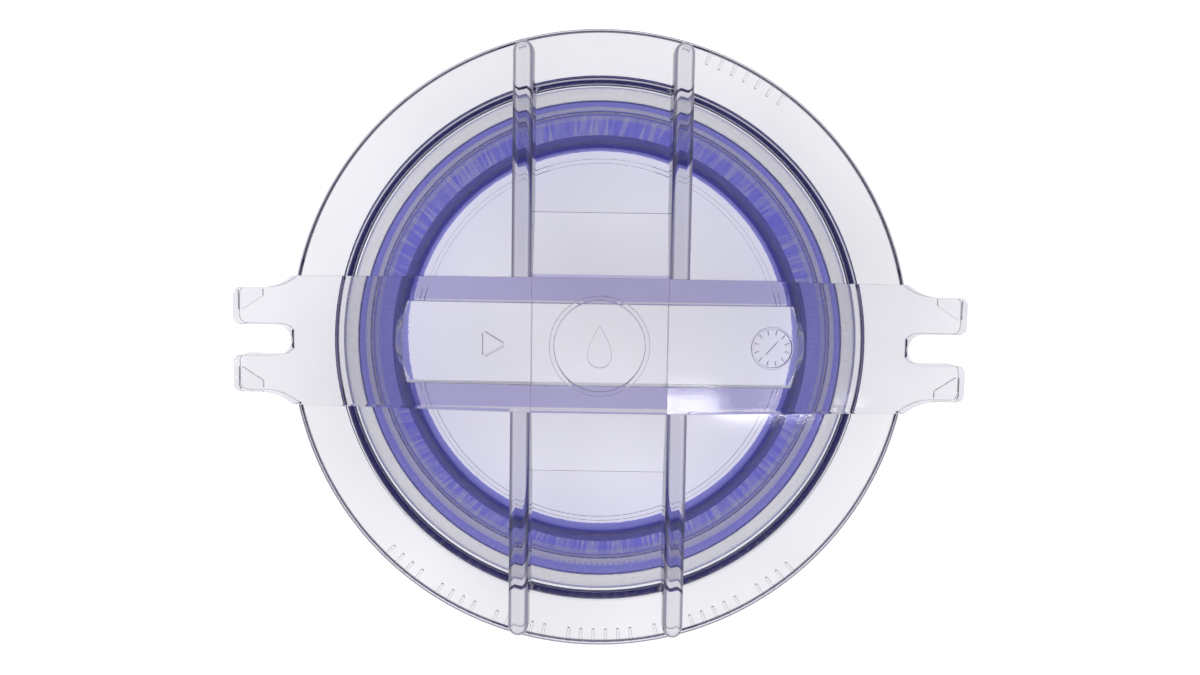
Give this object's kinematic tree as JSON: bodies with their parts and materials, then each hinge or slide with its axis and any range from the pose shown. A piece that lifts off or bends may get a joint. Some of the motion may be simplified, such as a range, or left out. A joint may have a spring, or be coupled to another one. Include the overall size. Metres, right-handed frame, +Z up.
{
  "type": "pool pump strainer cover",
  "caption": "Clear moulded strainer cover for a pool pump, with forked clamp ears, stiffening ribs, a sight window and a sealing ring on its skirt.",
  "frame": {"origin": "centre of the skirt's foot, which is the centre of the bounding box's bottom face", "axes": "+X along the clamp bar towards one forked ear, +Y along the ribs, +Z up, out of the pump"},
  "size_m": [0.2608, 0.2222, 0.0507],
  "materials": {
    "clear_plastic": "glossy, clear with a violet tint",
    "seal_rubber": "satin, translucent"
  },
  "bodies": {
    "root": {"strainer_cover": "clear_plastic", "cover_o_ring": "seal_rubber"}
  },
  "joints": []
}
